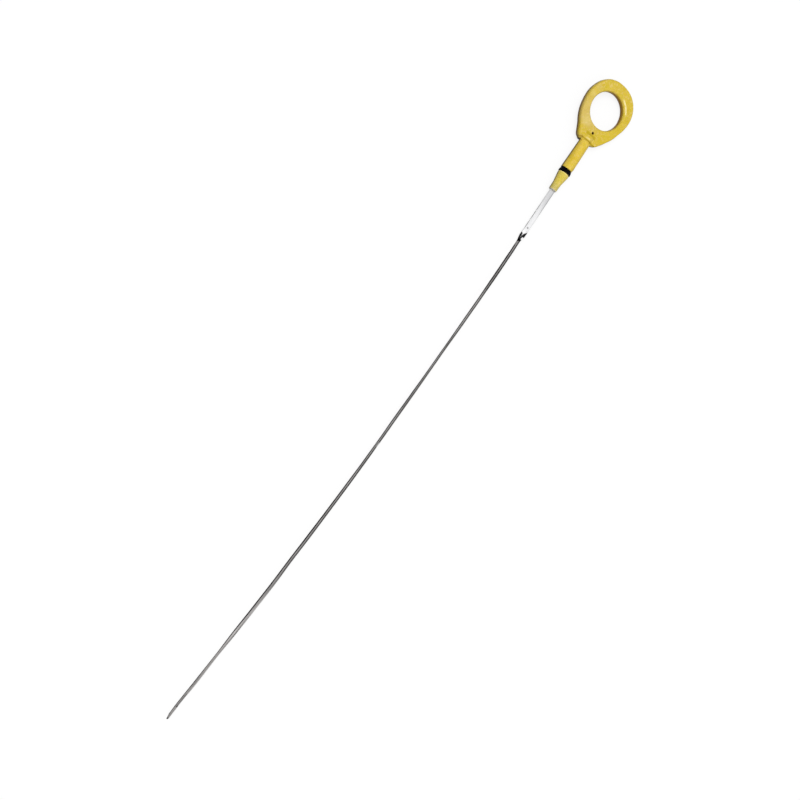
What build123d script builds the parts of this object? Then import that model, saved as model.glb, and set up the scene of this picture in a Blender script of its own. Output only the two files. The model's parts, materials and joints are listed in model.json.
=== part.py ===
from build123d import *
import math
import os

# Stick frame: X runs from the tip to the finger ring, Z is square to the ring, the origin is in the seal

# Finger ring and head
neck_length = 24.6
web = 13.5
hole_radius = 13.6
ring_wall = 6.3
ring_offset = 2.5
flank_angle = 32.0
shoulder = 7.5
head_corner = 7.0
head_thick = 6.0
head_chamfer = 0.8

# Neck, with a boss that stands proud of the head
neck_radius = 4.4
neck_draft = 0.1
neck_chamfer = 0.6
boss_reach = 5.8
boss_round = 0.5
relief_reach = 0.9
relief_width = 1.0
relief_depth = 0.4

# Seal and its groove
cord = 2.6
seal_proud = 0.4
seal_clear = 0.02
groove_spare = 1.0

# Guide plug under the seal
land_radius = 4.3
land_length = 1.4
cone_length = 7.2
cone_blend = 6.0
plug_length = 6.1
plug_wall = 0.7
plug_taper = 0.3
plug_chamfer = 0.3
recess_depth = 0.9
recess_wall = 0.45

# Steel strip, with its tang inside the moulding
strip_width = 4.0
strip_thick = 0.8
tang_cover = 2.1
tang_round = 1.4
waist_cover = 0.78
waist_run = 1.7
lock_hole = 2.0
lock_x = 14.0
pin_hole = 1.4
pin_from_end = 3.3
flat_run = 34.0
dimple = 1.3
dimple_depth = 0.16
dimple_from_twist = 1.9

# Quarter twist, then the long shaft standing on edge
twist_length = 10.0
twist_steps = 16
shaft_length = 404.5
shaft_steps = 24
shaft_bend = 0.72
bow_start = 62.0
bow_length = 274.0
bow_turn = 4.2
# Slow roll of the long strip: share of its length, degrees from flat
shaft_roll = ((0.0, 92), (0.25, 99), (0.42, 95), (0.70, 91), (0.88, 98), (1.0, 102))

# Tip, oil level band and one small dent
band_from_tip = 10.9
band_length = 11.0
band_depth = 0.45
tip_slope = 3.2
tip_flat = 0.9
dent_from_twist = 172.8
dent = 1.8
dent_depth = 0.2

# Places along the stick
half_groove = (cord + groove_spare) / 2
hole_x = neck_length + web + hole_radius
ring_x = hole_x + ring_offset
boss_end = neck_length + boss_reach
relief_x = neck_length + relief_reach
tang_end = neck_length + web - tang_cover
land_end = -half_groove - land_length
cone_end = land_end - cone_length
plug_end = cone_end - plug_length
twist_start = plug_end - flat_run
twist_end = twist_start - twist_length

# Radii that follow from the fits
ring_radius = hole_radius + ring_wall
seal_radius = land_radius + seal_proud
floor_radius = seal_radius - cord - seal_clear
neck_top = neck_radius - neck_draft
plug_radius = strip_width / 2 + plug_wall
recess_radius = plug_radius - recess_wall

# Head: a round crown, flanks that turn through one arc into straight shoulders, corners at the neck
slope = math.radians(flank_angle)
head_run = ring_x - neck_length
flank_radius = (head_run * math.tan(slope) - (ring_radius - shoulder)) / (1 / math.cos(slope) - 1)
with BuildSketch() as head_outline:
    with BuildLine():
        crown = CenterArc((ring_x, 0), ring_radius, 0, 90)
        flank = CenterArc((ring_x, ring_radius - flank_radius), flank_radius, 90, flank_angle)
        Polyline(flank @ 1, (neck_length, shoulder), (neck_length, 0))
        mirror(about=Plane.XZ)
    make_face()
    fillet(head_outline.vertices().group_by(Axis.X)[0], head_corner)
    with Locations((hole_x, 0)):
        Circle(hole_radius, mode=Mode.SUBTRACT)
head = extrude(head_outline.sketch, head_thick / 2, both=True)
rims = head.faces().filter_by(Plane.XY).edges()
head = chamfer(rims, head_chamfer)

# Neck, groove and guide plug: one turned profile
profile = make_face(
    Polyline(
        (boss_end, 0),
        (boss_end, neck_top),
        (relief_x + relief_width / 2, neck_top),
        (relief_x, neck_top - relief_depth),
        (relief_x - relief_width / 2, neck_top),
        (half_groove + neck_chamfer, neck_radius),
        (half_groove, neck_radius - neck_chamfer),
        (half_groove, floor_radius),
        (-half_groove, floor_radius),
        (-half_groove, land_radius),
        (land_end, land_radius),
        (cone_end, plug_radius + plug_taper),
        (plug_end, plug_radius),
        (plug_end, recess_radius),
        (plug_end + recess_depth, recess_radius),
        (plug_end + recess_depth, 0),
        close=True,
    )
)


def nearest_corner(x, r):
    return profile.vertices().sort_by_distance((x, r, 0))[0]


profile = fillet(nearest_corner(boss_end, neck_top), boss_round)
profile = chamfer(nearest_corner(-half_groove, land_radius), plug_chamfer)
profile = fillet(nearest_corner(cone_end, plug_radius + plug_taper), cone_blend)
profile = chamfer(nearest_corner(plug_end, plug_radius), plug_chamfer)
stem = revolve(profile, Axis.X)


# Strip: every cross-section is the same rectangle, turned about the blade's own line
def section(x, y, heading, roll):
    h = math.radians(heading)
    f = math.radians(roll)
    along = (-math.cos(h), math.sin(h), 0)
    wide = (math.cos(f) * math.sin(h), math.cos(f) * math.cos(h), -math.sin(f))
    return Plane(origin=(x, y, 0), x_dir=wide, z_dir=along)


def ease(t):
    return t * t * (3 - 2 * t)


def through(planes):
    return loft([plane * Rectangle(strip_width, strip_thick) for plane in planes], ruled=True)


# Centre line of the shaft: straight, a shallow arc, straight again
def shaft_line(s):
    bow_radius = bow_length / math.radians(bow_turn)
    a = math.radians(shaft_bend)
    b = math.radians(shaft_bend + bow_turn)
    one = min(s, bow_start)
    two = min(max(s - bow_start, 0), bow_length)
    three = max(s - bow_start - bow_length, 0)
    c = a + two / bow_radius
    x = twist_end - one * math.cos(a) - bow_radius * (math.sin(c) - math.sin(a)) - three * math.cos(b)
    y = one * math.sin(a) + bow_radius * (math.cos(a) - math.cos(c)) + three * math.sin(b)
    return x, y, math.degrees(c)


def shaft_section(share):
    for (s0, r0), (s1, r1) in zip(shaft_roll, shaft_roll[1:]):
        if share <= s1:
            roll = r0 + (r1 - r0) * ease((share - s0) / (s1 - s0))
            return section(*shaft_line(share * shaft_length), roll)


# Quarter twist: the turn eases in and out
def twist_section(share):
    x = twist_start + (twist_end - twist_start) * share
    return section(x, 0, shaft_bend * ease(share), shaft_roll[0][1] * ease(share))


# A ball that leaves a shallow dish of this width and depth
def dish(width, depth):
    ball = (width * width / 4 + depth * depth) / (2 * depth)
    return Pos(0, 0, ball - depth) * Sphere(ball)


# Flat stretch with its tang: waisted under the seal, pierced so that the moulding keys through it
flat_length = tang_end - twist_start
flat = Pos((tang_end + twist_start) / 2, 0, 0) * Box(flat_length, strip_width, strip_thick)
flat = fillet(flat.edges().filter_by(Axis.Z).group_by(Axis.X)[-1], tang_round)
tang_waist = 2 * (floor_radius - waist_cover)
notch_depth = (strip_width - tang_waist) / 2
notch = Box(2 * (half_groove + waist_run), notch_depth, strip_thick)
for side in (1, -1):
    flat -= Pos(0, side * (strip_width - notch_depth) / 2, 0) * notch
flat -= Pos(lock_x, 0, 0) * Cylinder(lock_hole / 2, strip_thick)
flat -= Pos(twist_start + dimple_from_twist, 0, strip_thick / 2) * dish(dimple, dimple_depth)

twist = through([twist_section(k / twist_steps) for k in range(twist_steps + 1)])
shaft = through([shaft_section(k / shaft_steps) for k in range(shaft_steps + 1)])

# Pointed tip and the relieved band between the two oil levels, cut in the tip's own plane
tip = shaft_section(1.0)
tip_plane = Plane(origin=tip.origin, x_dir=tip.x_dir, z_dir=-tip.y_dir)
edge = strip_width / 2
clear = strip_width
far = edge + clear
point = (tip_flat - edge, 0)
above = (tip_flat - edge, clear)
slope_cut = Polyline((edge, -tip_slope), (far, -tip_slope), (far, clear), above, point, close=True)
corner_cut = Polyline((-edge, -tip_flat), (-far, -tip_flat), (-far, clear), above, point, close=True)
band_mid = band_from_tip + band_length / 2
band_cut = Pos(-edge, -band_mid) * Rectangle(2 * band_depth, band_length)
for outline in (make_face(slope_cut), make_face(corner_cut), band_cut):
    shaft -= extrude(tip_plane * outline, 2 * strip_thick, both=True)
dent_plane = shaft_section(dent_from_twist / shaft_length)
shaft -= dent_plane * Pos(0, -strip_thick / 2, 0) * Rot(90, 0, 0) * dish(dent, dent_depth)

blade = flat + twist + shaft

# The moulding closes round the tang, and a locating pin of the mould leaves one hole down to the steel
handle = head + stem - flat
pin_x = tang_end - pin_from_end
handle -= Pos(pin_x, 0, (strip_thick + head_thick) / 2) * Cylinder(pin_hole / 2, head_thick)

# Round cord bent into a ring
with BuildSketch() as cord_section:
    with BuildLine():
        CenterArc((0, seal_radius - cord / 2), cord / 2, 0, 180)
        CenterArc((0, seal_radius - cord / 2), cord / 2, 180, 180)
    make_face()
o_ring = revolve(cord_section.sketch, Axis.X)


# Lying still: it rests on the seal, on one edge of the ring and on the blade's tip
def lowest(piece, roll, pitch):
    return (Rot(0, -pitch, 0) * Rot(roll, 0, 0) * piece).bounding_box().min.Z


settle_rounds = 8
roll = 0.0
pitch = 0.0
for _ in range(settle_rounds):
    level = lowest(o_ring, roll, pitch)
    roll += math.degrees((lowest(head, roll, pitch) - level) / ring_radius)
    pitch += math.degrees((lowest(blade, roll, pitch) - level) / shaft_length)

# Floor at zero, middle of the outline at the origin
pieces = {"handle": handle, "o_ring": o_ring, "blade": blade}
turned = {name: Rot(0, -pitch, 0) * Rot(roll, 0, 0) * piece for name, piece in pieces.items()}
box = Compound(children=[piece.solid() for piece in turned.values()]).bounding_box()
settle = Pos(-box.center().X, -box.center().Y, -box.min.Z)
os.makedirs("parts", exist_ok=True)
for name, piece in turned.items():
    placed = (settle * piece).solid()
    export_step(placed, f"parts/{name}.step")
    print(name, "volume", round(placed.volume, 1), "mm3")
print("roll", round(roll, 3), "pitch", round(pitch, 3), "box", [round(v, 2) for v in box.size])
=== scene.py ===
# %% [markdown]
# # An engine oil dipstick, lying on a table
# The real object has three pieces: a yellow moulded handle, a black rubber seal in its groove, and one long strip
# of steel with a quarter twist under the handle. The CAD model already has the right sizes, so this lesson loads
# it first.

# %% Load the CAD frame
import json
import math

import bmesh
import bpy
import numpy as np
from mathutils import Matrix, Vector


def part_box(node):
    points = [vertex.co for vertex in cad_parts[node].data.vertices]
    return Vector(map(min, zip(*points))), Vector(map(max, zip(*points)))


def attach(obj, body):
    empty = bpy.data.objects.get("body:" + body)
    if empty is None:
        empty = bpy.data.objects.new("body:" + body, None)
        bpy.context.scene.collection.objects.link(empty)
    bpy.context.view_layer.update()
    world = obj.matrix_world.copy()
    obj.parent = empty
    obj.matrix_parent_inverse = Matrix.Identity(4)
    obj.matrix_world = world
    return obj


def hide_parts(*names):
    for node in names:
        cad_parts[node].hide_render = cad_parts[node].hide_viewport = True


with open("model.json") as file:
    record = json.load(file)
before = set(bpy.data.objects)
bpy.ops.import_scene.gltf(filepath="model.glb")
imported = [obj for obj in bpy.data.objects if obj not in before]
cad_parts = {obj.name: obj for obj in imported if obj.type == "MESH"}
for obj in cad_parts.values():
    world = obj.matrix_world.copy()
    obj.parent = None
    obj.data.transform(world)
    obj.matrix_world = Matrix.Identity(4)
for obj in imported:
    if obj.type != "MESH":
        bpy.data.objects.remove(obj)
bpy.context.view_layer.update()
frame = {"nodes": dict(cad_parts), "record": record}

# %% [markdown]
# The stick doesn't lie level: it rests on its seal, on one edge of the ring and on its tip. Modelling in that
# tilted frame would be awkward, so all pieces are drawn in the stick's own frame, in millimetres, with the seal
# at zero, and one matrix lays them down. Its axes are read from the CAD model: the flat face of the head gives
# the up direction and the mount gives the long one.

# %% The stick's own frame
head_face = max(frame["nodes"]["handle"].data.polygons, key=lambda polygon: polygon.area)
up_axis = head_face.normal * math.copysign(1, head_face.normal.z)
long_axis = -Vector(frame["record"]["mounts"][0]["axis"]).normalized()
side_axis = up_axis.cross(long_axis).normalized()
long_axis = side_axis.cross(up_axis)
seal_low, seal_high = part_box("o_ring")
lay_down = Matrix((long_axis, side_axis, up_axis)).transposed().to_4x4()
lay_down.translation = (seal_low + seal_high) / 2
lay_down = lay_down @ Matrix.Scale(0.001, 4)
print("rolled by", round(math.degrees(math.asin(-up_axis.y)), 2), "degrees")

# %% [markdown]
# The camera stands where the photograph's did: high over the stick, with the ring in the upper right corner. The
# right-hand direction of the picture is a vector of its own, because a plain track-to would hold the horizon level.

# %% Camera


def linked(name, data):
    made = bpy.data.objects.new(name, data)
    bpy.context.collection.objects.link(made)
    return made


eye = Vector((-0.061579, 0.240899, 0.730116))
looking = Vector((0.07547, -0.30487, -0.94940)).normalized()
picture_right = Vector((0.55158, -0.78042, 0.29445)).normalized()
picture_up = picture_right.cross(looking)
camera = linked("camera", bpy.data.cameras.new("camera"))
camera.data.lens = 50
camera.data.sensor_width = 36
camera.matrix_world = Matrix((picture_right, picture_up, -looking)).transposed().to_4x4()
camera.location = eye
bpy.context.scene.camera = camera
print("camera", round(math.degrees(math.asin(-looking.z)), 1), "degrees above the table")

# %% [markdown]
# Shaders are easier to read as sums than as boxes and wires. This class holds one output of a node, and the signs
# of arithmetic add the Math node that does the sum. The method `node` adds any other kind. `rise` is a smooth
# step from nothing to one, `fall` is its reverse, and `near` is one round a middle value. Colours are mixed by
# `blend` and `tinted`, because a Math node would turn them grey.


# %% A socket that can be used in sums
class Wire:
    def __init__(self, tree, socket=None):
        self.tree = tree
        self.socket = socket

    def node(self, kind, settings=None, sockets=None, out=0):
        made = self.tree.nodes.new("ShaderNode" + kind)
        for name, value in (settings or {}).items():
            if name == "stops":
                ramp = made.color_ramp.elements
                while len(ramp) < len(value):
                    ramp.new(1.0)
                for stop, (place, colour) in zip(ramp, value):
                    stop.position = place
                    stop.color = colour
            else:
                setattr(made, name, value)
        for name, value in (sockets or {}).items():
            if isinstance(value, Wire):
                self.tree.links.new(value.socket, made.inputs[name])
            else:
                made.inputs[name].default_value = value
        return Wire(self.tree, made.outputs[out] if made.outputs else None)

    def math(self, operation, *values):
        return self.node("Math", {"operation": operation}, dict(enumerate(values)))

    def __add__(self, other):
        return self.math("ADD", self, other)

    __radd__ = __add__

    def __sub__(self, other):
        return self.math("SUBTRACT", self, other)

    def __rsub__(self, other):
        return self.math("SUBTRACT", other, self)

    def __mul__(self, other):
        return self.math("MULTIPLY", self, other)

    __rmul__ = __mul__

    def __truediv__(self, other):
        return self.math("DIVIDE", self, other)

    def __neg__(self):
        return self.math("MULTIPLY", self, -1.0)

    def __abs__(self):
        return self.math("ABSOLUTE", self)

    def most(self, other):
        return self.math("MAXIMUM", self, other)

    def hypot(self, other):
        return self.math("SQRT", self * self + other * other)

    def rise(self, start, end):
        sockets = {0: self, 1: start, 2: end, 3: 0.0, 4: 1.0}
        return self.node("MapRange", {"interpolation_type": "SMOOTHSTEP"}, sockets)

    def fall(self, start, end):
        return 1 - self.rise(start, end)

    def near(self, middle, inner, outer):
        """One within the inner distance of a middle value, nothing beyond the outer one."""
        return abs(self - middle).fall(inner, outer)

    def blend(self, first, second):
        """The first colour where this is nothing, the second where it is one."""
        ends = [end if isinstance(end, Wire) else (*end, 1.0) for end in (first, second)]
        return self.node("Mix", {"data_type": "RGBA"}, {0: self, 6: ends[0], 7: ends[1]}, out=2)

    def tinted(self, *layers):
        """This colour under layers of tint. Each has its strength, its mask and its colour."""
        colour = self
        for strength, mask, tint in layers:
            colour = (strength * mask).blend(colour, tint)
        return colour

    def stretched(self, x, y, z):
        return self.node("VectorMath", {"operation": "MULTIPLY"}, {0: self, 1: (x, y, z)})

    def noise(self, scale, detail=2.0, rough=0.5):
        sockets = {"Vector": self, "Scale": scale, "Detail": detail, "Roughness": rough}
        return self.node("TexNoise", None, sockets)

    def part(self, axis):
        return self.node("SeparateXYZ", None, {0: self}, out="XYZ".index(axis))


print("shader sums ready")

# %% [markdown]
# Product pictures like this one are shot in a white room, so that every colour shows as it is. A white world does
# that, but light from all sides alike leaves no shading. So the world is dimmer for the light that falls on
# things than for the eye. The Light Path node tells the two apart, and mirror rays count as the eye.

# %% White room
scene = bpy.context.scene
scene.view_settings.view_transform = "Standard"
room_fill = 0.55


def seen(wire):
    """One for the rays that show a thing: straight to the camera, or by way of a mirror or a glass."""
    kinds = ("Camera", "Glossy", "Transmission")
    straight, mirrored, through = (wire.node("LightPath", out=f"Is {kind} Ray") for kind in kinds)
    return straight.most(mirrored).most(through)


room = bpy.data.worlds.new("white_room")
room.use_nodes = True
room.node_tree.nodes.clear()
air = Wire(room.node_tree)
room_strength = room_fill + (1 - room_fill) * seen(air)
room_light = air.node("Background", None, {"Color": (1, 1, 1, 1), "Strength": room_strength})
air.node("OutputWorld", None, {"Surface": room_light})
scene.world = room
print("room light is", room_fill, "on things and 1 to the eye")

# %% [markdown]
# One wide soft lamp near the zenith makes up for the dim room and gives the faint shadow. A second, weaker lamp
# is for mirror rays alone, and stands where the flat stretch of the steel mirrors it. Sun lamps do for both,
# since their spread sets the softness and their distance doesn't matter.

# %% Soft lamps


def soft_lamp(name, stands, strength, spread):
    made = linked(name, bpy.data.lights.new(name, "SUN"))
    made.data.energy = strength
    made.data.angle = math.radians(spread)
    made.matrix_world = Vector(stands).to_track_quat("Z", "Y").to_matrix().to_4x4()
    return made


top_lamp = soft_lamp("top_lamp", (0.0, 0.27, 1.0), strength=1.83, spread=40)
top_lamp.visible_glossy = False
mirror_lamp = soft_lamp("mirror_lamp", (0.05, -0.52, 0.85), strength=0.4, spread=45)
mirror_lamp.visible_diffuse = False
print("lamps made:", top_lamp.name, "and", mirror_lamp.name)

# %% [markdown]
# A finish is a material with a tree of nodes. Blender fills a new tree with a default shader, so these helpers start
# from an empty one, close it with an output node, and put the finish on a piece.

# %% Helpers for finishes


def blank_finish(name):
    """A new material with no nodes, and a wire to start them from."""
    material = bpy.data.materials.new(name)
    material.use_nodes = True
    material.node_tree.nodes.clear()
    return material, Wire(material.node_tree)


def surface(wire, shader):
    wire.node("OutputMaterial", None, {"Surface": shader})


def dress(piece, material):
    piece.data.materials.clear()
    piece.data.materials.append(material)


print("finishes start from empty trees")

# %% [markdown]
# In a studio, a black card takes light away from one side, and that draws the edges of a pale object. Here a low
# curved card stands far off on the camera's side, so the walls of the handle that face it turn dark. Neither the
# camera nor a mirror sees it. It is a grid of quads through a formula, and so is the table.

# %% Black card


def bench(name, net):
    """The finished net of faces as an object."""
    mesh = bpy.data.meshes.new(name)
    net.to_mesh(mesh)
    net.free()
    return linked(name, mesh)


def sheet(name, place, across, along):
    """A grid of quads through place(u, v), with u and v from 0 to 1."""
    grid = bmesh.new()
    rows = []
    for v in range(along + 1):
        rows.append([grid.verts.new(place(u / across, v / along)) for u in range(across + 1)])
    for lower, upper in zip(rows, rows[1:]):
        for k in range(across):
            grid.faces.new((lower[k], lower[k + 1], upper[k + 1], upper[k]))
    made = bench(name, grid)
    return made


card_far = 7.0
card_wide = 13.0
card_foot = 0.01
card_top = math.radians(32)


def card_place(u, v):
    climb = card_foot + (card_top - card_foot) * v
    return card_wide * (2 * u - 1), card_far * math.cos(climb), card_far * math.sin(climb)


card = sheet("black_card", card_place, across=2, along=12)
card.visible_camera = False
card.visible_glossy = False
black, wire = blank_finish("black_card")
surface(wire, wire.node("BsdfDiffuse", None, {"Color": (0.01, 0.01, 0.01, 1)}))
dress(card, black)
print("card reaches", round(math.degrees(card_top)), "degrees above the table")

# %% [markdown]
# The table is white to the eye and much darker for the light that it throws back, because a white floor would
# wash out the dark edges from below. Most of its brightness is a glow that only the eye sees. The rest is plain
# and matt, and keeps the soft shadow of the stick.

# %% White table
table_reach = 14.0
table_bounce = 0.12
table_white = 0.99
table_glow = 0.84
table = sheet("table", lambda u, v: (table_reach * (2 * u - 1), table_reach * (2 * v - 1), 0), across=1, along=1)
white, wire = blank_finish("white_table")
shown = seen(wire)
table_colour = shown.blend((table_bounce,) * 3, (table_white,) * 3)
lit = wire.node("BsdfDiffuse", None, {"Color": table_colour})
glow = wire.node("Emission", None, {"Color": (1, 1, 1, 1), "Strength": 1.0})
surface(wire, wire.node("MixShader", None, {0: table_glow * shown, 1: lit, 2: glow}))
dress(table, white)
print("table is", 2 * table_reach, "m wide")

# %% [markdown]
# The head is one flat moulding with a finger hole. Its outline is a round crown, flanks that turn through one arc
# into straight shoulders, and rounded corners at the neck. It could be extruded and bevelled, but a bevel pulls
# on the uneven triangles that an outline with a hole gives. Here every point of the outline gets its own column
# of quads that runs once round the wall of the ring.

# %% Outline of the head
neck_length = 24.6
ring_x = 54.2
ring_radius = 19.9
flank_turn = math.radians(32)
shoulder = 7.5
head_corner = 7.0
crown_steps, flank_steps, shoulder_steps, corner_steps, front_steps = 44, 26, 8, 18, 9


def around(centre, radius, start, end, steps):
    """Points and outward directions on an arc."""
    for k in range(steps):
        a = start + (end - start) * k / steps
        out = Vector((math.cos(a), math.sin(a), 0))
        yield Vector(centre) + radius * out, out


flank_drop = (ring_x - neck_length) * math.tan(flank_turn) - (ring_radius - shoulder)
flank_radius = flank_drop / (1 / math.cos(flank_turn) - 1)
flank_centre = (ring_x, ring_radius - flank_radius, 0)
shoulder_turn = math.pi / 2 + flank_turn
shoulder_out = Vector((math.cos(shoulder_turn), math.sin(shoulder_turn), 0))
shoulder_reach = shoulder_out.dot(Vector((neck_length, shoulder, 0))) - head_corner
corner_x = neck_length + head_corner
corner_y = (shoulder_reach - shoulder_out.x * corner_x) / shoulder_out.y
shoulder_top = Vector(flank_centre) + flank_radius * shoulder_out
shoulder_end = Vector((corner_x, corner_y, 0)) + head_corner * shoulder_out
half = list(around((ring_x, 0, 0), ring_radius, 0, math.pi / 2, crown_steps))
half += around(flank_centre, flank_radius, math.pi / 2, shoulder_turn, flank_steps)
half += [(shoulder_top.lerp(shoulder_end, k / shoulder_steps), shoulder_out) for k in range(shoulder_steps)]
half += around((corner_x, corner_y, 0), head_corner, shoulder_turn, math.pi, corner_steps)
for k in range(front_steps + 1):
    half.append((Vector((neck_length, corner_y * (1 - k / front_steps), 0)), Vector((-1, 0, 0))))
flip = Vector((1, -1, 1))
outline = half + [(point * flip, out * flip) for point, out in reversed(half[1:-1])]
print("head outline has", len(outline), "points")

# %% [markdown]
# A moulding that has been pulled out of a hot engine many times isn't quite symmetric. The ring leans by about a
# degree, and it swells and slims by up to 0.7 mm on the way round. A lattice could bend it, but a short table is
# easier to set: each point of the outline moves outwards by its value.

# %% Uneven ring
head_lean = 0.02
# Degrees round the ring from its far end, millimetres outwards
ring_swell = (
    (0, 0.0), (20, 0.28), (34, 0.48), (50, 0.24), (70, -0.2), (90, -0.2), (110, -0.15), (130, 0.06), (142, 0.05),
    (150, -0.22), (158, -0.1), (167, 0.3), (172, 0.7), (176, 0.0), (183, 0.0), (190, -0.2), (200, 0.0),
    (206, 0.15), (221, -0.05), (241, -0.52), (257, -0.2), (272, 0.0), (285, 0.2), (300, 0.36), (315, 0.45),
    (330, 0.42), (342, 0.22), (360, 0.0),
)


def ease(t):
    return t * t * (3 - 2 * t)


def between(stops, place):
    """The value at a place, eased from stop to stop."""
    for (p0, v0), (p1, v1) in zip(stops, stops[1:]):
        if place <= p1:
            return v0 + (v1 - v0) * ease((place - p0) / (p1 - p0))


for point, out in outline:
    spoke = point - Vector((ring_x, 0, 0))
    point += out * between(ring_swell, math.degrees(math.atan2(spoke.y, spoke.x)) % 360)
    point.y -= head_lean * spoke.x
print("ring leans by", round(math.degrees(math.atan(head_lean)), 2), "degrees")

# %% [markdown]
# The section is a rectangle with round rims. Its walls lean in by a hair, as the mould needs to let go, and a
# thin ridge in the middle shows where its two halves met. A bevel modifier would give the rims, but not the draft
# and the ridge, so the rows of one wall are listed from the ridge to the face.

# %% Section through the ring
head_half = 3.0
part_ridge = 0.05
ridge_half = 0.14
wall_draft = 0.07
rim_steps = 9


def wall_rows(rim):
    """From the parting line to the face: how far in from the wall, and how high."""
    yield 0.0, 0.0
    yield part_ridge, ridge_half
    for k in range(rim_steps + 1):
        a = 0.5 * math.pi * k / rim_steps
        inset = part_ridge + wall_draft + rim * (1 - math.cos(a))
        yield inset, head_half - rim * (1 - math.sin(a))


print("head is", 2 * head_half, "mm thick, with", rim_steps, "steps in each rim")

# %% [markdown]
# The neck doesn't stop at the head: its upper half goes on into the face as a boss and ends in a round nose. A
# boolean union would leave a hard line there, but the mould was cut with a small fillet. So the boss is a height
# over the face, and the two heights melt into each other where they cross.

# %% Boss on the head
boss_start = 26.0
boss_nose = 30.1
boss_end = 31.0
boss_radius = 4.3
boss_foot = 0.75
foot_slope = 0.8
boss_melt = 0.5


def boss_height(x, y):
    if x < boss_start - boss_foot or x > boss_end:
        return 0.0
    radius = boss_radius - foot_slope * max(boss_start - x, 0.0)
    if x > boss_nose:
        radius *= math.sqrt(1 - ((x - boss_nose) / (boss_end - boss_nose)) ** 2)
    return math.sqrt(max(radius * radius - y * y, 0.0))


def melted(one, two):
    """The higher of two levels, with a soft fillet where they cross."""
    overlap = max(boss_melt - abs(one - two), 0.0)
    return max(one, two) + overlap * overlap / (4 * boss_melt)


print("boss stands", round(boss_radius - head_half, 2), "mm over the face")

# %% [markdown]
# Most pieces here are lofts: loops of points, joined by quads. Blender's bridge tool joins two loops at a time. This
# helper joins any number of them, and either closes the last loop to the first or caps both ends.

# %% Lofts through loops of points


def loft(loops, closed):
    net = bmesh.new()
    rings = [[net.verts.new(point) for point in loop] for loop in loops]
    pairs = list(zip(rings, rings[1:])) + ([(rings[-1], rings[0])] if closed else [])
    for one, two in pairs:
        for k in range(len(one)):
            net.faces.new((one[k - 1], one[k], two[k], two[k - 1]))
    if not closed:
        net.faces.new(rings[0])
        net.faces.new(rings[-1][::-1])
    bmesh.ops.recalc_face_normals(net, faces=net.faces)
    return net


print("lofts ready")

# %% [markdown]
# Now the columns: from the parting line in the hole, up its wall, over the face, and down to the parting line
# outside. The wide faces sink a little, because plastic shrinks as it cools. The front rim is softer on one side
# than on the other, and the back rim is softer still.

# %% Head as a ring of sections
hole_x = 51.7
hole_radius = 13.4
hole_round = 1.4
crown_round = 1.25
rim_swing = 0.45
back_round = 1.8
face_sink = 0.06
face_rows = 54
first_rim_row = 3


def half_section(point, out, hole_rim, outer_rim):
    spoke = Vector((point.x - hole_x, point.y, 0)).normalized()
    hole_edge = Vector((hole_x, 0, 0)) + hole_radius * spoke
    inner = [hole_edge + inset * spoke + Vector((0, 0, z)) for inset, z in wall_rows(hole_rim)]
    outer = [point - inset * out + Vector((0, 0, z)) for inset, z in wall_rows(outer_rim)]
    face = []
    for k in range(1, face_rows):
        level = inner[-1].lerp(outer[-1], k / face_rows)
        face.append(level - Vector((0, 0, face_sink * math.sin(math.pi * k / face_rows))))
    for place in face + outer[first_rim_row:]:
        place.z = melted(place.z, boss_height(place.x, place.y))
    return inner + face + outer[::-1]


def head_section(point, out):
    upper = half_section(point, out, hole_round, crown_round + rim_swing * out.y)
    lower = half_section(point, out, back_round, back_round)
    return upper + [place * Vector((1, 1, -1)) for place in reversed(lower[1:-1])]


handle = bench("yellow_handle", loft([head_section(*column) for column in outline], closed=True))
print("head has", len(handle.data.polygons), "faces")

# %% [markdown]
# Neck, seal groove, guide land, cone and plug are round, so they start as one profile: a list of corners along
# the stick, each with its round. The neck widens towards the groove, and the end of the plug is a shallow dome.
# Bevelled vertices would do too, but a list keeps every size in one place.

# %% Profile of the neck and the plug
relief_x = 25.5
groove_top = 1.6
groove_foot = -2.15
shave_reach = 2.2
land_end = -3.2
cone_end = -10.4
plug_end = -16.5
land_radius = 4.3
floor_radius = 2.08
axis_gap = 0.02
# Along the stick, radius, round of the corner
stem_corners = (
    (relief_x + 1.0, 0.0, 0.0),
    (relief_x + 1.0, 2.4, 0.1),
    (relief_x, 3.88, 0.15),
    (relief_x - 0.5, 4.2, 0.25),
    (groove_top + shave_reach, 4.52, 0.6),
    (groove_top + 0.15, 4.58, 0.12),
    (groove_top, 4.43, 0.08),
    (groove_top, floor_radius, 0.15),
    (groove_foot, floor_radius, 0.15),
    (groove_foot, land_radius, 0.2),
    (land_end, land_radius, 0.4),
    (cone_end, 3.1, 6.0),
    (plug_end + 0.3, 2.92, 0.2),
    (plug_end, 0.5, 0.1),
    (plug_end, 0.0, 0.0),
)


def rounded(corners, steps=6):
    """A polyline whose corners are replaced by arcs of the radius that each one gives."""
    places = [Vector((x, r)) for x, r, _ in corners]
    line = [places[0]]
    for before, at, after, (_, _, round_) in zip(places, places[1:], places[2:], corners[1:]):
        one = (before - at).normalized()
        two = (after - at).normalized()
        opening = one.angle(two) / 2
        centre = at + (one + two).normalized() * round_ / math.sin(opening)
        reach = round_ / math.tan(opening)
        start = at + one * reach - centre
        end = at + two * reach - centre
        line += [centre + round_ * start.slerp(end, k / steps) for k in range(steps + 1)]
    return line + [places[-1]]


stem_line = rounded(stem_corners)
stem_line[0].y = stem_line[-1].y = axis_gap
print("profile of the stem has", len(stem_line), "points")
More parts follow.
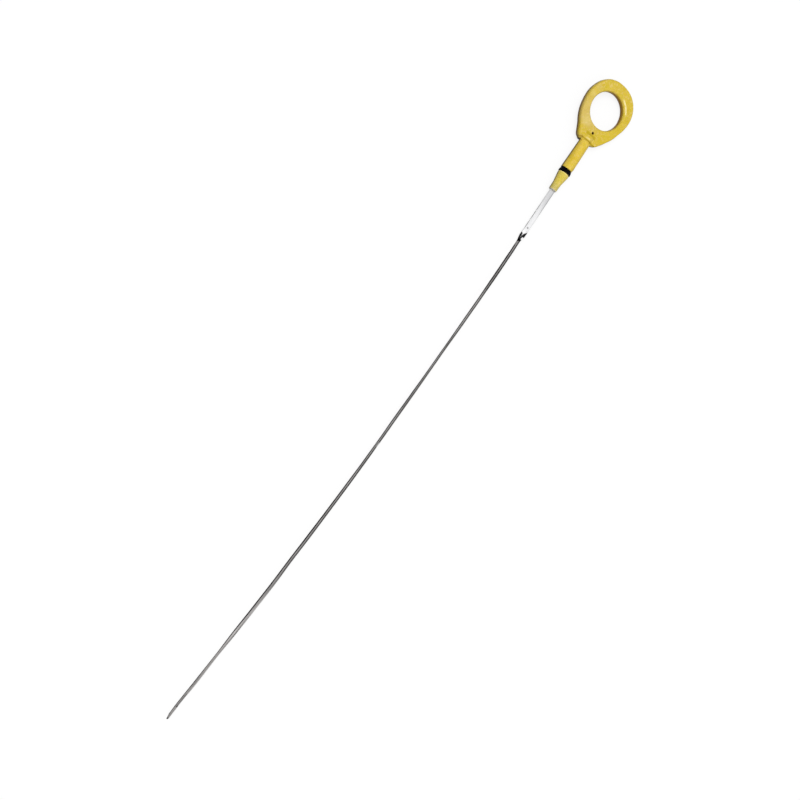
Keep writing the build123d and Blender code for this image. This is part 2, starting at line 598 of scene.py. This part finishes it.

# %% [markdown]
# A Screw modifier would turn the profile. Points are placed one by one here, because the stem isn't perfectly
# round: the parting line runs along both sides and needs narrow columns of its own, the rim of the neck dips on
# its wide sides and is shaved off on one narrow side, and the plug leans by a hair.

# %% Stem, turned from its profile
stem_columns = 96
ridge_turns = (-1.2, 0.0, 1.2, 178.8, 180.0, 181.2)
stem_turns = {round(360 * k / stem_columns, 3) for k in range(stem_columns)} - {0.0, 180.0}
stem_turns = sorted(stem_turns | {turn % 360 for turn in ridge_turns})
stem_ridge = 0.04
ridge_from_radius = 2.6
neck_dip = 0.35
dip_reach = 0.3
rim_slack = 0.1
neck_shave = 0.5
shave_from_radius = 3.5
plug_lean = 0.018


def turned(place):
    x, radius = place
    loop = []
    for turn in stem_turns:
        a = math.radians(turn)
        r = radius + (stem_ridge if turn in (0.0, 180.0) and radius > ridge_from_radius else 0.0)
        dip = neck_dip * math.sin(a) ** 2 if abs(x - groove_top) < dip_reach else 0.0
        if groove_top - rim_slack < x and radius > shave_from_radius:
            r -= neck_shave * max(-math.cos(a), 0.0) * max(1 - (x - groove_top) / shave_reach, 0.0)
        aside = plug_lean * max(land_end - x, 0.0)
        loop.append((x - dip, r * math.cos(a) + aside, r * math.sin(a)))
    return loop


stem = bench("stem", loft([turned(place) for place in stem_line], closed=False))
print("stem has", len(stem.data.polygons), "faces")

# %% [markdown]
# The head and the stem become one solid with a boolean, as in a CAD program, and the exact solver keeps it
# closed. The mould held the steel by a small pin, which left a round hole down to the steel. That is a second
# boolean, with a rod.

# %% One moulding
strip_thick = 0.8
pin_x = 32.7
pin_radius = 0.7
pin_clear = 1.0


def carve(body, tool, operation):
    step = body.modifiers.new("carve", "BOOLEAN")
    step.object = tool
    step.operation = operation
    step.solver = "EXACT"
    graph = bpy.context.evaluated_depsgraph_get()
    carved = bpy.data.meshes.new_from_object(body.evaluated_get(graph))
    body.modifiers.clear()
    body.data = carved
    bpy.data.objects.remove(tool)


def rod(x, low, high, radius, steps=48):
    """A round upright rod on the middle line of the stick."""
    circle = [(math.cos(math.tau * k / steps), math.sin(math.tau * k / steps)) for k in range(steps)]
    return loft([[(x + radius * c, radius * s, z) for c, s in circle] for z in (low, high)], closed=False)


carve(handle, stem, "UNION")
carve(handle, bench("pin", rod(pin_x, strip_thick / 2, head_half + pin_clear, pin_radius)), "DIFFERENCE")
print("moulding has", len(handle.data.polygons), "faces")

# %% [markdown]
# The steel strip keeps one cross-section from the hidden tang to the tip. A curve with a bevel object could carry
# it, with tilt for the twist, but the width changes on the way too, so the sections are placed one by one. First
# comes the line of the long shaft: straight, a shallow bow, straight again. Thin strip is never quite straight or
# flat, so it also rolls slowly and strays by up to 0.3 mm.

# %% Line of the shaft
twist_start = -50.5
twist_length = 10.0
twist_end = twist_start - twist_length
shaft_length = 403.9
shaft_bend = 0.72
bow_start = 62.0
bow_length = 274.0
bow_turn = 4.2
# Share of the shaft's length, degrees from flat
shaft_roll = (
    (0.0, 90), (0.03, 88), (0.07, 88), (0.12, 92.5), (0.17, 93), (0.22, 98), (0.27, 97), (0.32, 93.5), (0.37, 91.5),
    (0.42, 93.5), (0.47, 92.5), (0.52, 89.5), (0.57, 89), (0.62, 86), (0.67, 87), (0.72, 83), (0.77, 83.5),
    (0.82, 83.5), (0.87, 96.5), (0.92, 92), (0.97, 95), (1.0, 98),
)
# Share of the shaft's length, millimetres aside
shaft_stray = (
    (0.0, 0.12), (0.02, -0.12), (0.07, -0.28), (0.12, -0.27), (0.17, -0.07), (0.24, 0.2), (0.32, 0.22), (0.37, 0.24),
    (0.42, -0.02), (0.48, -0.16), (0.57, -0.10), (0.62, -0.04), (0.67, 0.08), (0.72, -0.23), (0.77, -0.13),
    (0.82, 0.03), (0.87, 0.05), (0.92, 0.0), (0.97, 0.3), (1.0, 0.12),
)


def shaft_place(s):
    """Centre, heading and roll of the shaft, s millimetres from the twist."""
    bow_radius = bow_length / math.radians(bow_turn)
    a = math.radians(shaft_bend)
    b = math.radians(shaft_bend + bow_turn)
    one = min(s, bow_start)
    two = min(max(s - bow_start, 0), bow_length)
    three = max(s - bow_start - bow_length, 0)
    c = a + two / bow_radius
    x = twist_end - one * math.cos(a) - bow_radius * (math.sin(c) - math.sin(a)) - three * math.cos(b)
    y = one * math.sin(a) + bow_radius * (math.cos(a) - math.cos(c)) + three * math.sin(b)
    share = s / shaft_length
    return x, y + between(shaft_stray, share), c, math.radians(between(shaft_roll, share))


print("shaft turns by", bow_turn, "degrees on its way")

# %% [markdown]
# Above the shaft are the quarter twist and the flat stretch that runs up into the handle. The twist eases in and
# out, as it does when a strip is held in two vices. Two functions give, for any distance from the hidden end, the
# centre of the strip and the directions of its width and its thickness.

# %% Places along the whole strip
tang_end = 36.0


def strip_place(s):
    """Centre, heading and roll of the strip, s millimetres from the end of the tang."""
    x = tang_end - s
    if x >= twist_start:
        return x, 0.0, 0.0, 0.0
    if x >= twist_end:
        share = ease((twist_start - x) / twist_length)
        heading, roll = math.radians(shaft_bend), math.radians(shaft_roll[0][1])
        return x, shaft_stray[0][1] * share, heading * share, roll * share
    return shaft_place(min(twist_end - x, shaft_length))


def strip_axes(s):
    x, y, heading, roll = strip_place(s)
    along = Vector((-math.cos(heading), math.sin(heading), 0))
    wide = Vector((math.cos(roll) * math.sin(heading), math.cos(roll) * math.cos(heading), -math.sin(roll)))
    return Vector((x, y, 0)), wide, along.cross(wide)


twist_s = tang_end - twist_start
shaft_s = tang_end - twist_end
strip_length = shaft_s + shaft_length
print("strip is", round(strip_length, 1), "mm long")

# %% [markdown]
# A press cuts the blank before it is twisted: the end of the tang is round, the tang is waisted under the seal,
# the band between the two oil levels is cut out of one edge, and the tip is cut to a point. All of that is a left
# and a right edge for each place along the strip, so no boolean is needed.

# %% Edges of the strip
strip_half = 2.0
tang_round = 1.4
waist_reach = 3.5
waist_half = 1.3
tip_slope = 3.2
tip_flat = 1.5
tip_side = tip_flat - strip_half
band_from_tip = 11.6
band_end = 21.3
band_depth = 0.35


def strip_edges(s):
    left, right = -strip_half, strip_half
    if s < tang_round:
        inset = tang_round - math.sqrt(max(tang_round ** 2 - (tang_round - s) ** 2, 0))
        left, right = left + inset, right - inset
    elif abs(tang_end - s) < waist_reach:
        left, right = -waist_half, waist_half
    to_tip = strip_length - s
    if to_tip < tip_slope:
        right = tip_side + (strip_half - tip_side) * to_tip / tip_slope
    if to_tip < tip_flat:
        left = tip_side + (-strip_half - tip_side) * to_tip / tip_flat
    elif band_from_tip < to_tip < band_end:
        left += band_depth
    return left, right


print("level band is", round(band_end - band_from_tip, 1), "mm long")

# %% [markdown]
# Sections are close together where the shape changes fast, above all in the twist. At a step of the edge, two
# sections stand almost on each other, one on each side of it.

# %% Where the sections are
tang_steps = 8
flat_step = 2.0
twist_steps = 72
shaft_step = 1.6
step_gap = 0.02
tip_stops = (tip_slope, tip_flat, 2.0, 0.4, 0.04)
stations = [tang_round * (1 - math.cos(0.5 * math.pi * k / tang_steps)) for k in range(tang_steps + 1)]
for step in (
    tang_end - waist_reach, tang_end + waist_reach, strip_length - band_end, strip_length - band_from_tip,
):
    stations += [step - step_gap, step + step_gap]
stations += [flat_step * (k + 0.5) for k in range(int(twist_s / flat_step))]
stations += [twist_s + twist_length * k / twist_steps for k in range(twist_steps + 1)]
stations += [shaft_s + shaft_step * k for k in range(1, int(shaft_length / shaft_step))]
stations += [strip_length - stop for stop in tip_stops]
stations = sorted(set(stations))
print("strip has", len(stations), "sections")

# %% [markdown]
# One section is a flat rectangle with slightly round corners, as the rollers leave them. The wide sides have
# three extra points each, which keep the twisted quads small.

# %% Strip through its sections
strip_round = 0.13
thin_share = 0.45
corner_turns = (0, 30, 60, 90)
face_shares = (0.25, 0.5, 0.75)


def strip_section(s):
    centre, wide, deep = strip_axes(s)
    left, right = strip_edges(s)
    soft = min(strip_round, thin_share * (right - left))
    flat = strip_thick / 2
    loop = []
    for side, face, first in ((1, 1, 0), (-1, 1, 90), (-1, -1, 180), (1, -1, 270)):
        edge = right if side > 0 else left
        for turn in corner_turns:
            a = math.radians(first + turn)
            w = edge - side * soft + soft * math.cos(a)
            n = face * (flat - soft) + soft * math.sin(a)
            loop.append((w, n))
        if side == face:
            start, end = (right - soft, left + soft)[::side]
            loop += [(start + (end - start) * share, face * flat) for share in face_shares]
    return [centre + w * wide + n * deep for w, n in loop]


blade = bench("steel_blade", loft([strip_section(s) for s in stations], closed=False))
print("blade has", len(blade.data.polygons), "faces")

# %% [markdown]
# The plastic is moulded round the tang, so the handle gets a slot with the shape of the strip itself. The tang
# has a hole that the plastic flows through. Two small marks are pressed into the steel, a dimple just above the
# twist and a shallow dent on the shaft, and a large ball cuts such a dish cleanly.

# %% Slot, locking hole and dents
slot_reach = 3.0
lock_x = 14.0
lock_radius = 1.0
lock_half = 1.0
dimple_from_twist = 1.9
dent_from_twist = 172.8


def ball(centre, radius):
    net = bmesh.new()
    bmesh.ops.create_uvsphere(net, u_segments=64, v_segments=48, radius=radius)
    bmesh.ops.translate(net, verts=net.verts, vec=centre)
    return bench("ball", net)


def dish(place, inward, width, depth):
    """A shallow round dish, pressed in from a point on the steel."""
    radius = (width * width / 4 + depth * depth) / (2 * depth)
    carve(blade, ball(place - inward * (radius - depth), radius), "DIFFERENCE")


slot_s = tang_end - plug_end + slot_reach
slot_copy = bench("slot", loft([strip_section(s) for s in stations if s < slot_s], closed=False))
carve(handle, slot_copy, "DIFFERENCE")
carve(blade, bench("lock", rod(lock_x, -lock_half, lock_half, lock_radius)), "DIFFERENCE")
dimple_place = Vector((twist_start + dimple_from_twist, 0, strip_thick / 2))
dish(dimple_place, Vector((0, 0, -1)), width=1.3, depth=0.16)
dent_centre, _, dent_inward = strip_axes(shaft_s + dent_from_twist)
dish(dent_centre - dent_inward * strip_thick / 2, dent_inward, width=1.8, depth=0.2)
print("blade has", len(blade.data.polygons), "faces with its hole and dents")

# %% [markdown]
# The seal is a soft rubber ring that fills its groove. Its outside slopes from the neck to a round lip next to
# the plug, and the lip closes the tube. A torus would be too round for that, so it is another turned profile,
# with a fine line of flash on the lip. Its upper side follows the dip of the neck's rim.

# %% Seal
seal_gap = 0.04
seal_bore = 2.1
seal_seam = 0.3
seal_steps = 120
flash = 0.02
# Along the stick, radius, round of the corner
seal_corners = (
    (seal_seam, seal_bore, 0.0),
    (groove_top - seal_gap, seal_bore, 0.2),
    (groove_top - seal_gap, 4.0, 0.7),
    (0.1, 4.54, 1.2),
    (groove_foot + 0.65, 4.68, 0.6),
    (groove_foot + seal_gap, 4.25, 0.2),
    (groove_foot + seal_gap, seal_bore, 0.2),
    (seal_seam, seal_bore, 0.0),
)
seal_line = rounded(seal_corners)[:-1]
lip_row = max(range(len(seal_line)), key=lambda k: seal_line[k].y)
seal_line[lip_row].y += flash
print("seal is", round(2 * seal_line[lip_row].y, 2), "mm across")


def seal_section(turn):
    a = math.radians(turn)
    loop = []
    for x, r in seal_line:
        dip = neck_dip * math.sin(a) ** 2 * max(x - seal_seam, 0) / (groove_top - seal_seam)
        loop.append((x - dip, r * math.cos(a), r * math.sin(a)))
    return loop


seal = bench("rubber_seal", loft([seal_section(360 * k / seal_steps) for k in range(seal_steps)], closed=True))
print("seal has", len(seal.data.polygons), "faces")

# %% [markdown]
# Each finished mesh is now laid down in the frame of the CAD model and takes the place of its plain node. Before
# that, every point stores where it is on the stick, in millimetres. The finishes use that as their coordinate,
# because it keeps its meaning wherever the stick lies.

# %% Lay the pieces down
crease_turn = math.radians(28)


def store(mesh, name, values):
    layer = mesh.attributes.new(name, "FLOAT_VECTOR", "POINT")
    layer.data.foreach_set("vector", np.asarray(values, np.float32).ravel())


def lay(piece, node):
    mesh = piece.data
    places = np.empty(3 * len(mesh.vertices), np.float32)
    mesh.vertices.foreach_get("co", places)
    store(mesh, "stick", places)
    mesh.transform(lay_down)
    mesh.shade_smooth()
    mesh.set_sharp_from_angle(angle=crease_turn)
    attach(piece, "root")
    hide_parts(node)
    return places.reshape(-1, 3)


lay(handle, "handle")
lay(seal, "o_ring")
blade_places = lay(blade, "blade")
print("pieces laid down:", [piece.name for piece in (handle, seal, blade)])

# %% [markdown]
# Grain and wear have to follow the blade through its twist, so its points also store how far along, across and
# through the strip they are. UV coordinates would do, but the booleans would tear them. The nearest of many
# samples of the strip gives the answer for every point at once.

# %% Coordinates along the strip
sample_count = 4000
sample_s = np.linspace(0, strip_length, sample_count)
samples = [strip_axes(s) for s in sample_s]
centres, wides, deeps = (np.array([sample[k] for sample in samples]) for k in range(3))
nearest = np.searchsorted(-centres[:, 0], -blade_places[:, 0]).clip(0, sample_count - 1)
offset = blade_places - centres[nearest]
to_side = (offset * wides[nearest]).sum(1)
to_face = (offset * deeps[nearest]).sum(1)
store(blade.data, "strip", np.stack([sample_s[nearest] - twist_s, to_side, to_face], 1))
print("points on the strip:", len(blade_places))

# %% [markdown]
# Moulded plastic is never one flat colour. The pigment swirls a little as the melt flows, so there are pale and
# deep patches a few millimetres wide, some warmer and some greener, and fine specks. The head is set the deepest
# yellow and the plug the palest, paler still towards its end. Noises of different size lie over each other,
# because one alone always looks like a cloud.

# %% Yellow plastic: pigment


def pick(wire, attribute):
    """The values that the points of a mesh store under a name."""
    return wire.node("Attribute", {"attribute_name": attribute}, out=1)


yellow, wire = blank_finish("yellow_plastic")
stick = pick(wire, "stick")
long_way = stick.part("X")
side_way = stick.part("Y")
height = stick.part("Z")
swirl = stick.stretched(0.6, 1.0, 1.0).noise(0.22, 3.0, 0.6).rise(0.30, 0.70)
paler_to_plug_end = long_way.fall(-14.5, -9.5)
plug_colour = swirl.blend((0.685, 0.535, 0.072), (0.75, 0.60, 0.137)).tinted((0.7, paler_to_plug_end, (0.53, 0.455, 0.167)))
neck_colour = swirl.blend((0.70, 0.49, 0.034), (0.77, 0.555, 0.076))
head_colour = swirl.blend((0.61, 0.435, 0.022), (0.68, 0.50, 0.057))
colour = long_way.rise(-3.5, 0.0).blend(plug_colour, neck_colour)
colour = long_way.rise(23.0, 27.0).blend(colour, head_colour)
warm = stick.noise(0.55, 3.0, 0.6).rise(0.50, 0.72)
green = stick.stretched(1.0, -1.0, 1.0).noise(0.62, 3.0, 0.6).rise(0.50, 0.72)
speck = stick.noise(1.25, 2.0, 0.6)
colour = colour.tinted(
    (0.6, warm, (0.79, 0.58, 0.23)),
    (0.6, green, (0.57, 0.50, 0.010)),
    (0.40, speck.rise(0.54, 0.72), (0.80, 0.60, 0.24)),
    (0.30, speck.fall(0.28, 0.44), (0.54, 0.41, 0.006)),
)
print("pigment has", len(yellow.node_tree.nodes), "nodes")

# %% [markdown]
# Some light on the ring is painted. A painted highlight runs along the rim of the hole, and painted sheen makes
# paler spots on the crown, the flank and the rim of the hole. One shoulder is creamier and the other a richer
# yellow. Each is a soft spot or strip on the face with its own tint. A painted mask would do as well, but it
# would need an image.

# %% Yellow plastic: painted highlights and pale patches


def away(x, y):
    """Distance on the face from a point of the head."""
    return (long_way - x).hypot(side_way - y)


cream = side_way.rise(-5.0, 6.0) * long_way.fall(44.0, 60.0) * long_way.rise(31.0, 36.0)
rich = side_way.fall(-9.0, -2.0) * long_way.fall(44.0, 56.0) * long_way.rise(27.0, 33.0)
# Painted sheen and glint: pale spots that stand for light falling on the face.
painted_sheen_spot = away(60.5, 15.8).fall(0.5, 4.5)
painted_sheen = away(36.6, 9.0).fall(0.5, 6.0)
painted_glint = away(54.6, 17.1).fall(0.4, 3.6)
from_hole = away(hole_x, 0.0)
# Painted highlight: a pale strip along the rim of the hole, where the light catches it.
rim_highlight_way = (0.74 * (long_way - hole_x) - 0.67 * side_way) / from_hole
painted_rim_highlight = from_hole.near(15.4, 0.2, 0.95) * rim_highlight_way.rise(0.89, 0.98) * height.rise(2.0, 2.6)
painted_rim_highlight = painted_rim_highlight * stick.noise(0.45, 1.0).rise(0.25, 0.55)
colour = colour.tinted(
    (0.28, cream, (0.70, 0.54, 0.30)),
    (0.35, rich, (0.64, 0.475, 0.015)),
    (0.25, painted_sheen_spot, (0.74, 0.58, 0.30)),
    (0.38, painted_sheen, (0.80, 0.66, 0.24)),
    (0.35, painted_glint, (0.82, 0.68, 0.24)),
    (0.8, painted_rim_highlight, (1.0, 0.88, 0.45)),
)
print("rubbed areas bring it to", len(yellow.node_tree.nodes), "nodes")

# %% [markdown]
# The side walls carry painted shade: a brown that stands for the shade on them, darkest along the neck and the
# plug, and warmer in the finger hole. The rounded rim of the head is a little darker too, also painted shade.
# The masks use the height on the stick, so the brown starts just under the rim all the way round.

# %% Yellow plastic: painted shade on the walls
# Painted shade: the rim and side walls of the head, the walls of neck and plug, and the wall of the finger hole.
painted_rim_shade = height.fall(2.55, 2.9) * long_way.rise(27.0, 30.0)
above_bottom = height.rise(-3.0, -2.5)
painted_wall_shade = (height - 0.4 - 0.35 * long_way.rise(-3.5, 0.0)).fall(-0.9, 0.6) * above_bottom
painted_shade = long_way.rise(24.0, 27.0).blend((0.085, 0.05, 0.004), (0.17, 0.08, 0.001))
painted_hole_shade = from_hole.fall(13.9, 15.0) * height.fall(1.0, 2.5) * above_bottom
colour = colour.tinted(
    (0.15, painted_rim_shade, (0.46, 0.29, 0.008)),
    (0.95, painted_wall_shade, painted_shade),
    (0.8, painted_hole_shade, (0.34, 0.16, 0.002)),
)
print("grime brings it to", len(yellow.node_tree.nodes), "nodes")

# %% [markdown]
# Small marks give the scale away. Painted shade darkens the crease round the boss, the nose of the boss, the
# corner of the head and the pin hole. Painted highlights make the crest of the boss and the rims of the land and
# the plug pale, and painted light lifts the end face of the plug.

# %% Yellow plastic: painted shade and highlights on creases and crests
on_top = height.rise(2.0, 2.6)
# Painted shade in the crease, the nook, the nose of the boss, the corner by the neck and the pin hole; painted
# highlights on the crest and the rims; painted light on the end of the crest and the end face of the plug.
painted_crease_shade = long_way.near(relief_x + 0.5, 0.15, 0.85) * side_way.fall(5.8, 6.8)
painted_nook_shade = away(25.3, 5.8).fall(0.5, 2.3) * long_way.rise(24.7, 25.2)
painted_crest_highlight = long_way.near(27.4, 0.25, 0.9) * side_way.near(1.0, 1.0, 2.4) * on_top
painted_crest_light = away(28.4, -2.6).fall(0.4, 2.4) * on_top
painted_nose_shade = long_way.near(boss_end - 0.25, 0.5, 1.4) * side_way.near(0.2, 3.6, 5.2) * on_top
painted_corner_shadow = long_way.near(neck_length - 0.7, 0.4, 0.95) * side_way.rise(4.8, 5.2) * side_way.fall(5.7, 6.5)
painted_pit_shade = away(pin_x + 0.08, -0.05).fall(0.75, 1.25) * height.rise(0.0, 0.3)
painted_land_highlight = long_way.near(groove_foot - 0.4, 0.25, 0.6)
painted_plug_highlight = long_way.fall(plug_end + 0.3, plug_end + 1.0)
painted_plug_face_light = long_way.fall(plug_end + 0.27, plug_end + 0.40)
colour = colour.tinted(
    (0.85, painted_crease_shade, (0.40, 0.27, 0.003)),
    (0.6, painted_nook_shade, (0.25, 0.13, 0.01)),
    (0.65, painted_crest_highlight, (0.92, 0.76, 0.32)),
    (0.3, painted_crest_light, (0.86, 0.68, 0.20)),
    (0.7, painted_nose_shade, (0.455, 0.325, 0.004)),
    (0.95, painted_corner_shadow, (0.02, 0.009, 0.001)),
    (0.95, painted_pit_shade, (0.05, 0.018, 0.003)),
    (0.55, painted_land_highlight, (0.86, 0.72, 0.27)),
    (0.6, painted_plug_highlight, (0.86, 0.74, 0.36)),
    (0.9, painted_plug_face_light, (0.90, 0.87, 0.78)),
)
print("small marks bring it to", len(yellow.node_tree.nodes), "nodes")

# %% [markdown]
# The gloss is that of worn plastic: a semi-gloss skin with a fine grain from the mould, a slight orange peel, and
# rougher scuffs along the stick. The bump is only some hundredths of a millimetre high.

# %% Yellow plastic: grain and gloss
grain = stick.noise(7.0, 3.0, 0.6)
peel = stick.noise(0.7, 2.0)
bump = wire.node("Bump", None, {"Strength": 0.25, "Distance": 0.00003, "Height": grain + 1.5 * peel})
scuff = stick.stretched(0.4, 5.0, 5.0).noise(1.2, 4.0, 0.7).rise(0.55, 0.72)
rough = 0.33 + 0.10 * swirl + 0.12 * scuff
gloss = {"Base Color": colour, "Roughness": rough, "Normal": bump, "Specular IOR Level": 0.12}
surface(wire, wire.node("BsdfPrincipled", None, gloss))
dress(handle, yellow)
print("yellow plastic has", len(yellow.node_tree.nodes), "nodes")

# %% [markdown]
# The rubber of the seal is black all through. A film of oil makes it a little uneven in gloss, and a faint bloom
# makes some patches a trace paler. Its specular level is low, because soft rubber mirrors very little.

# %% Black rubber
rubber, wire = blank_finish("black_rubber")
stick = pick(wire, "stick")
bloom = stick.noise(0.9, 3.0, 0.6)
colour = bloom.rise(0.45, 0.8).blend((0.0012, 0.0009, 0.002), (0.005, 0.0045, 0.006))
grain = stick.noise(9.0, 2.0)
bump = wire.node("Bump", None, {"Strength": 0.3, "Distance": 0.00002, "Height": grain})
matt = {"Base Color": colour, "Roughness": 0.5 + 0.2 * bloom, "Normal": bump, "Specular IOR Level": 0.03}
surface(wire, wire.node("BsdfPrincipled", None, matt))
dress(seal, rubber)
print("black rubber has", len(rubber.node_tree.nodes), "nodes")

# %% [markdown]
# The strip is rolled steel, with fine lines along it, which are a noise stretched along the strip. Under the plug
# it is plain steel grey, and where the twist begins it is painted near-white, a painted reflection. One edge has
# a pale line with a broken dark line beside it; the other half is duller near the plug and has a dark line along
# its edge. The dark lines are painted reflections of the narrow edges, and the dimple gets painted shade.

# %% Strip steel: bright stretch
steel, wire = blank_finish("strip_steel")
strip = pick(wire, "strip")
run = strip.part("X")
across = strip.part("Y")
line = strip.stretched(0.05, 7.0, 7.0).noise(1.0, 4.0, 0.65)
cloud = strip.stretched(0.12, 0.6, 0.6).noise(0.8, 3.0, 0.6)
dull = across.fall(-1.9, 0.6) * run.fall(-24.0, -12.0)
# Painted reflections: dark lines along both edges.
painted_edge_dashes = across.rise(1.55, 1.75) * strip.stretched(0.45, 0.2, 0.2).noise(1.0, 2.0).rise(0.42, 0.55)
painted_edge_line = (-across).rise(1.2, 1.8) * run.fall(-18.0, -8.0)
# Painted shade in the dimple.
painted_dimple_shade = (run + dimple_from_twist).hypot(across).fall(0.45, 0.95)
bright = run.rise(-32.0, -8.0).blend((0.43, 0.43, 0.435), (0.57, 0.57, 0.575)).tinted(
    (0.5, line.rise(0.35, 0.7), (0.40, 0.40, 0.41)),
    (0.4, dull, (0.25, 0.25, 0.255)),
    (0.7, across.rise(1.84, 1.94), (0.74, 0.74, 0.745)),
    (0.5, run.rise(-28.0, -16.0) * painted_edge_dashes, (0.12, 0.12, 0.122)),
    (0.6, painted_edge_line, (0.16, 0.16, 0.162)),
    # Painted reflection: near-white where the twist begins.
    (1.0, run.rise(0.5, 3.0), (0.90, 0.90, 0.90)),
    (0.6, painted_dimple_shade, (0.17, 0.17, 0.17)),
)
print("bright stretch has", len(steel.node_tree.nodes), "nodes")

# %% [markdown]
# The long shaft's colour holds painted reflections, broad and uneven, in three lanes: a grey core, a dark line
# along the lower edge, where the steel mirrors the shadow beside it, and an upper edge that is dark near the
# handle and pale near the tip. A colour ramp along the strip holds each lane, and the clouds and lines of the
# steel break it up.

# %% Strip steel: painted reflections along the shaft
core_stops = (
    (20, 0.45), (40, 0.30), (60, 0.68), (120, 0.92), (142, 0.50), (180, 0.75), (220, 0.45), (320, 0.40), (362, 0.92),
    (384, 0.60), (404, 0.88),
)
low_stops = (
    (36, 0.007), (58, 0.08), (120, 0.08), (160, 0.02), (200, 0.11), (262, 0.016), (300, 0.03), (330, 0.009),
    (362, 0.08), (384, 0.03), (406, 0.04),
)
high_stops = (
    (18, 0.03), (38, 0.009), (62, 0.038), (120, 0.048), (210, 0.015), (245, 0.042), (290, 0.055), (322, 0.33),
    (342, 0.13), (365, 0.28), (410, 0.25),
)


def grey(level):
    return level, 0.965 * level, 0.95 * level


def graded(stops):
    """A grey that changes along the strip. Each stop gives a place in millimetres and a level."""
    ramp = [(place / strip_length, (*grey(level), 1)) for place, level in stops]
    return run.node("ValToRGB", {"stops": ramp}, {0: run / strip_length})


# Painted reflections: the grey of each lane stands for what the steel mirrors there.
low_edge = (across - 0.25 * run.rise(262.0, 290.0) - 0.25 * run.rise(325.0, 350.0)).rise(-0.2, 0.5)
shaft_reflection_and_tone = graded(core_stops).tinted(
    (0.35, cloud.fall(0.3, 0.6), grey(0.17)),
    (0.35, cloud.rise(0.5, 0.75), grey(0.8)),
    (0.4, line.rise(0.4, 0.75), grey(0.22)),
    (0.95, low_edge * run.rise(11.0, 14.0), graded(low_stops)),
)
print("stains bring it to", len(steel.node_tree.nodes), "nodes")

# %% [markdown]
# Near the tip, the band between the oil levels has a darker edge, its lower step gets painted shade, and the
# point is black with old oil. Further up are one dark spot and a painted highlight on the dent. Their places
# come from the values that cut the strip.

# %% Strip steel: level band, tip and small marks
tip_run = strip_length - twist_s
band_low = tip_run - band_from_tip
band_high = tip_run - band_end
band_blur = 0.2
in_band = run.rise(band_high - band_blur, band_high + band_blur) * run.fall(band_low - band_blur, band_low + band_blur)
high_edge = (band_depth * in_band - across).rise(1.35, 1.75)
# Painted shade on the lower step of the band.
step_shade = run.near(band_low + 0.8, 0.3, 1.0) * (-across).rise(0.6, 1.2)
dark_spot = run.near(302.0, 0.8, 3.0) * across.rise(0.1, 0.8)
# Painted highlight on the dent.
painted_dent_highlight = run.near(twist_length + dent_from_twist, 0.8, 2.5)
shaft_reflection_and_tone = shaft_reflection_and_tone.tinted(
    (0.97, high_edge, graded(high_stops)),
    (0.9, high_edge * in_band, grey(0.15)),
    (0.7, step_shade, grey(0.03)),
    (0.85, run.rise(tip_run - 2.2, tip_run - 0.8), grey(0.02)),
    (0.8, dark_spot, (0.004, 0.004, 0.004)),
    (0.5, painted_dent_highlight, (0.42, 0.415, 0.41)),
)
colour = run.rise(8.0, 8.6).blend(bright, shaft_reflection_and_tone)
print("band and tip bring it to", len(steel.node_tree.nodes), "nodes")

# %% [markdown]
# The quarter twist is the darkest place. It is painted black in the shape of a fishtail: two prongs run up both
# edges, a sliver between them is painted near-white at first and then grey, and one corner stays clear and shows
# the near-white above it. That near-white is a painted reflection. The prongs are one mask whose start slopes
# with the distance from the middle of the strip.

# %% Strip steel: fishtail at the twist
prong_slope = 0.825
prong_lean = 0.425
prong_start = 3.35
black_steel = (0.003, 0.003, 0.004)
prongs = (run + prong_slope * abs(across) - prong_lean * across - prong_start).rise(-0.3, 0.4)
sliver_end = run.fall(6.4, 7.0)
sliver = (abs(across - 0.2) + 0.12 * (run - 3.2)).fall(0.28, 0.55)
# Painted reflection: the near-white start of the sliver.
sliver_colour = run.rise(3.6, 5.0).blend((0.9, 0.9, 0.9), (0.17, 0.17, 0.172))
colour = (sliver * run.rise(3.4, 3.8) * sliver_end).blend(colour, sliver_colour)
# The clear corner shows the painted reflection of the stretch above.
clear_corner = (-across).rise(1.1, 1.4) * run.rise(5.6, 6.1) * run.fall(7.8, 8.1)
blackened = prongs * (1 - sliver * sliver_end) * (1 - clear_corner) * run.fall(9.2, 9.9)
colour = colour.tinted((0.98, blackened, black_steel))
print("fishtail brings it to", len(steel.node_tree.nodes), "nodes")

# %% [markdown]
# Last comes the shine. The rolled lines make the steel a little rougher and give it a very fine bump. The tang
# inside the handle is painted dark, a painted shade that shows only at the bottom of the pin hole. The metal's
# edge tint is black, so that dark places stay dark at a low angle too.

# %% Strip steel: rolled lines and shine
# Painted shade: the tang inside the handle, seen at the bottom of the pin hole.
painted_shade_in_handle = run.fall(-60.0, -55.0)
colour = painted_shade_in_handle.blend(colour, (0.012, 0.007, 0.004))
bump = wire.node("Bump", None, {"Strength": 0.2, "Distance": 0.00002, "Height": line})
rough = 0.16 + 0.16 * line + 0.12 * cloud
shine = {"Base Color": colour, "Metallic": 1.0, "Specular Tint": (0, 0, 0, 1), "Roughness": rough, "Normal": bump}
surface(wire, wire.node("BsdfPrincipled", None, shine))
dress(blade, steel)
print("strip steel has", len(steel.node_tree.nodes), "nodes")
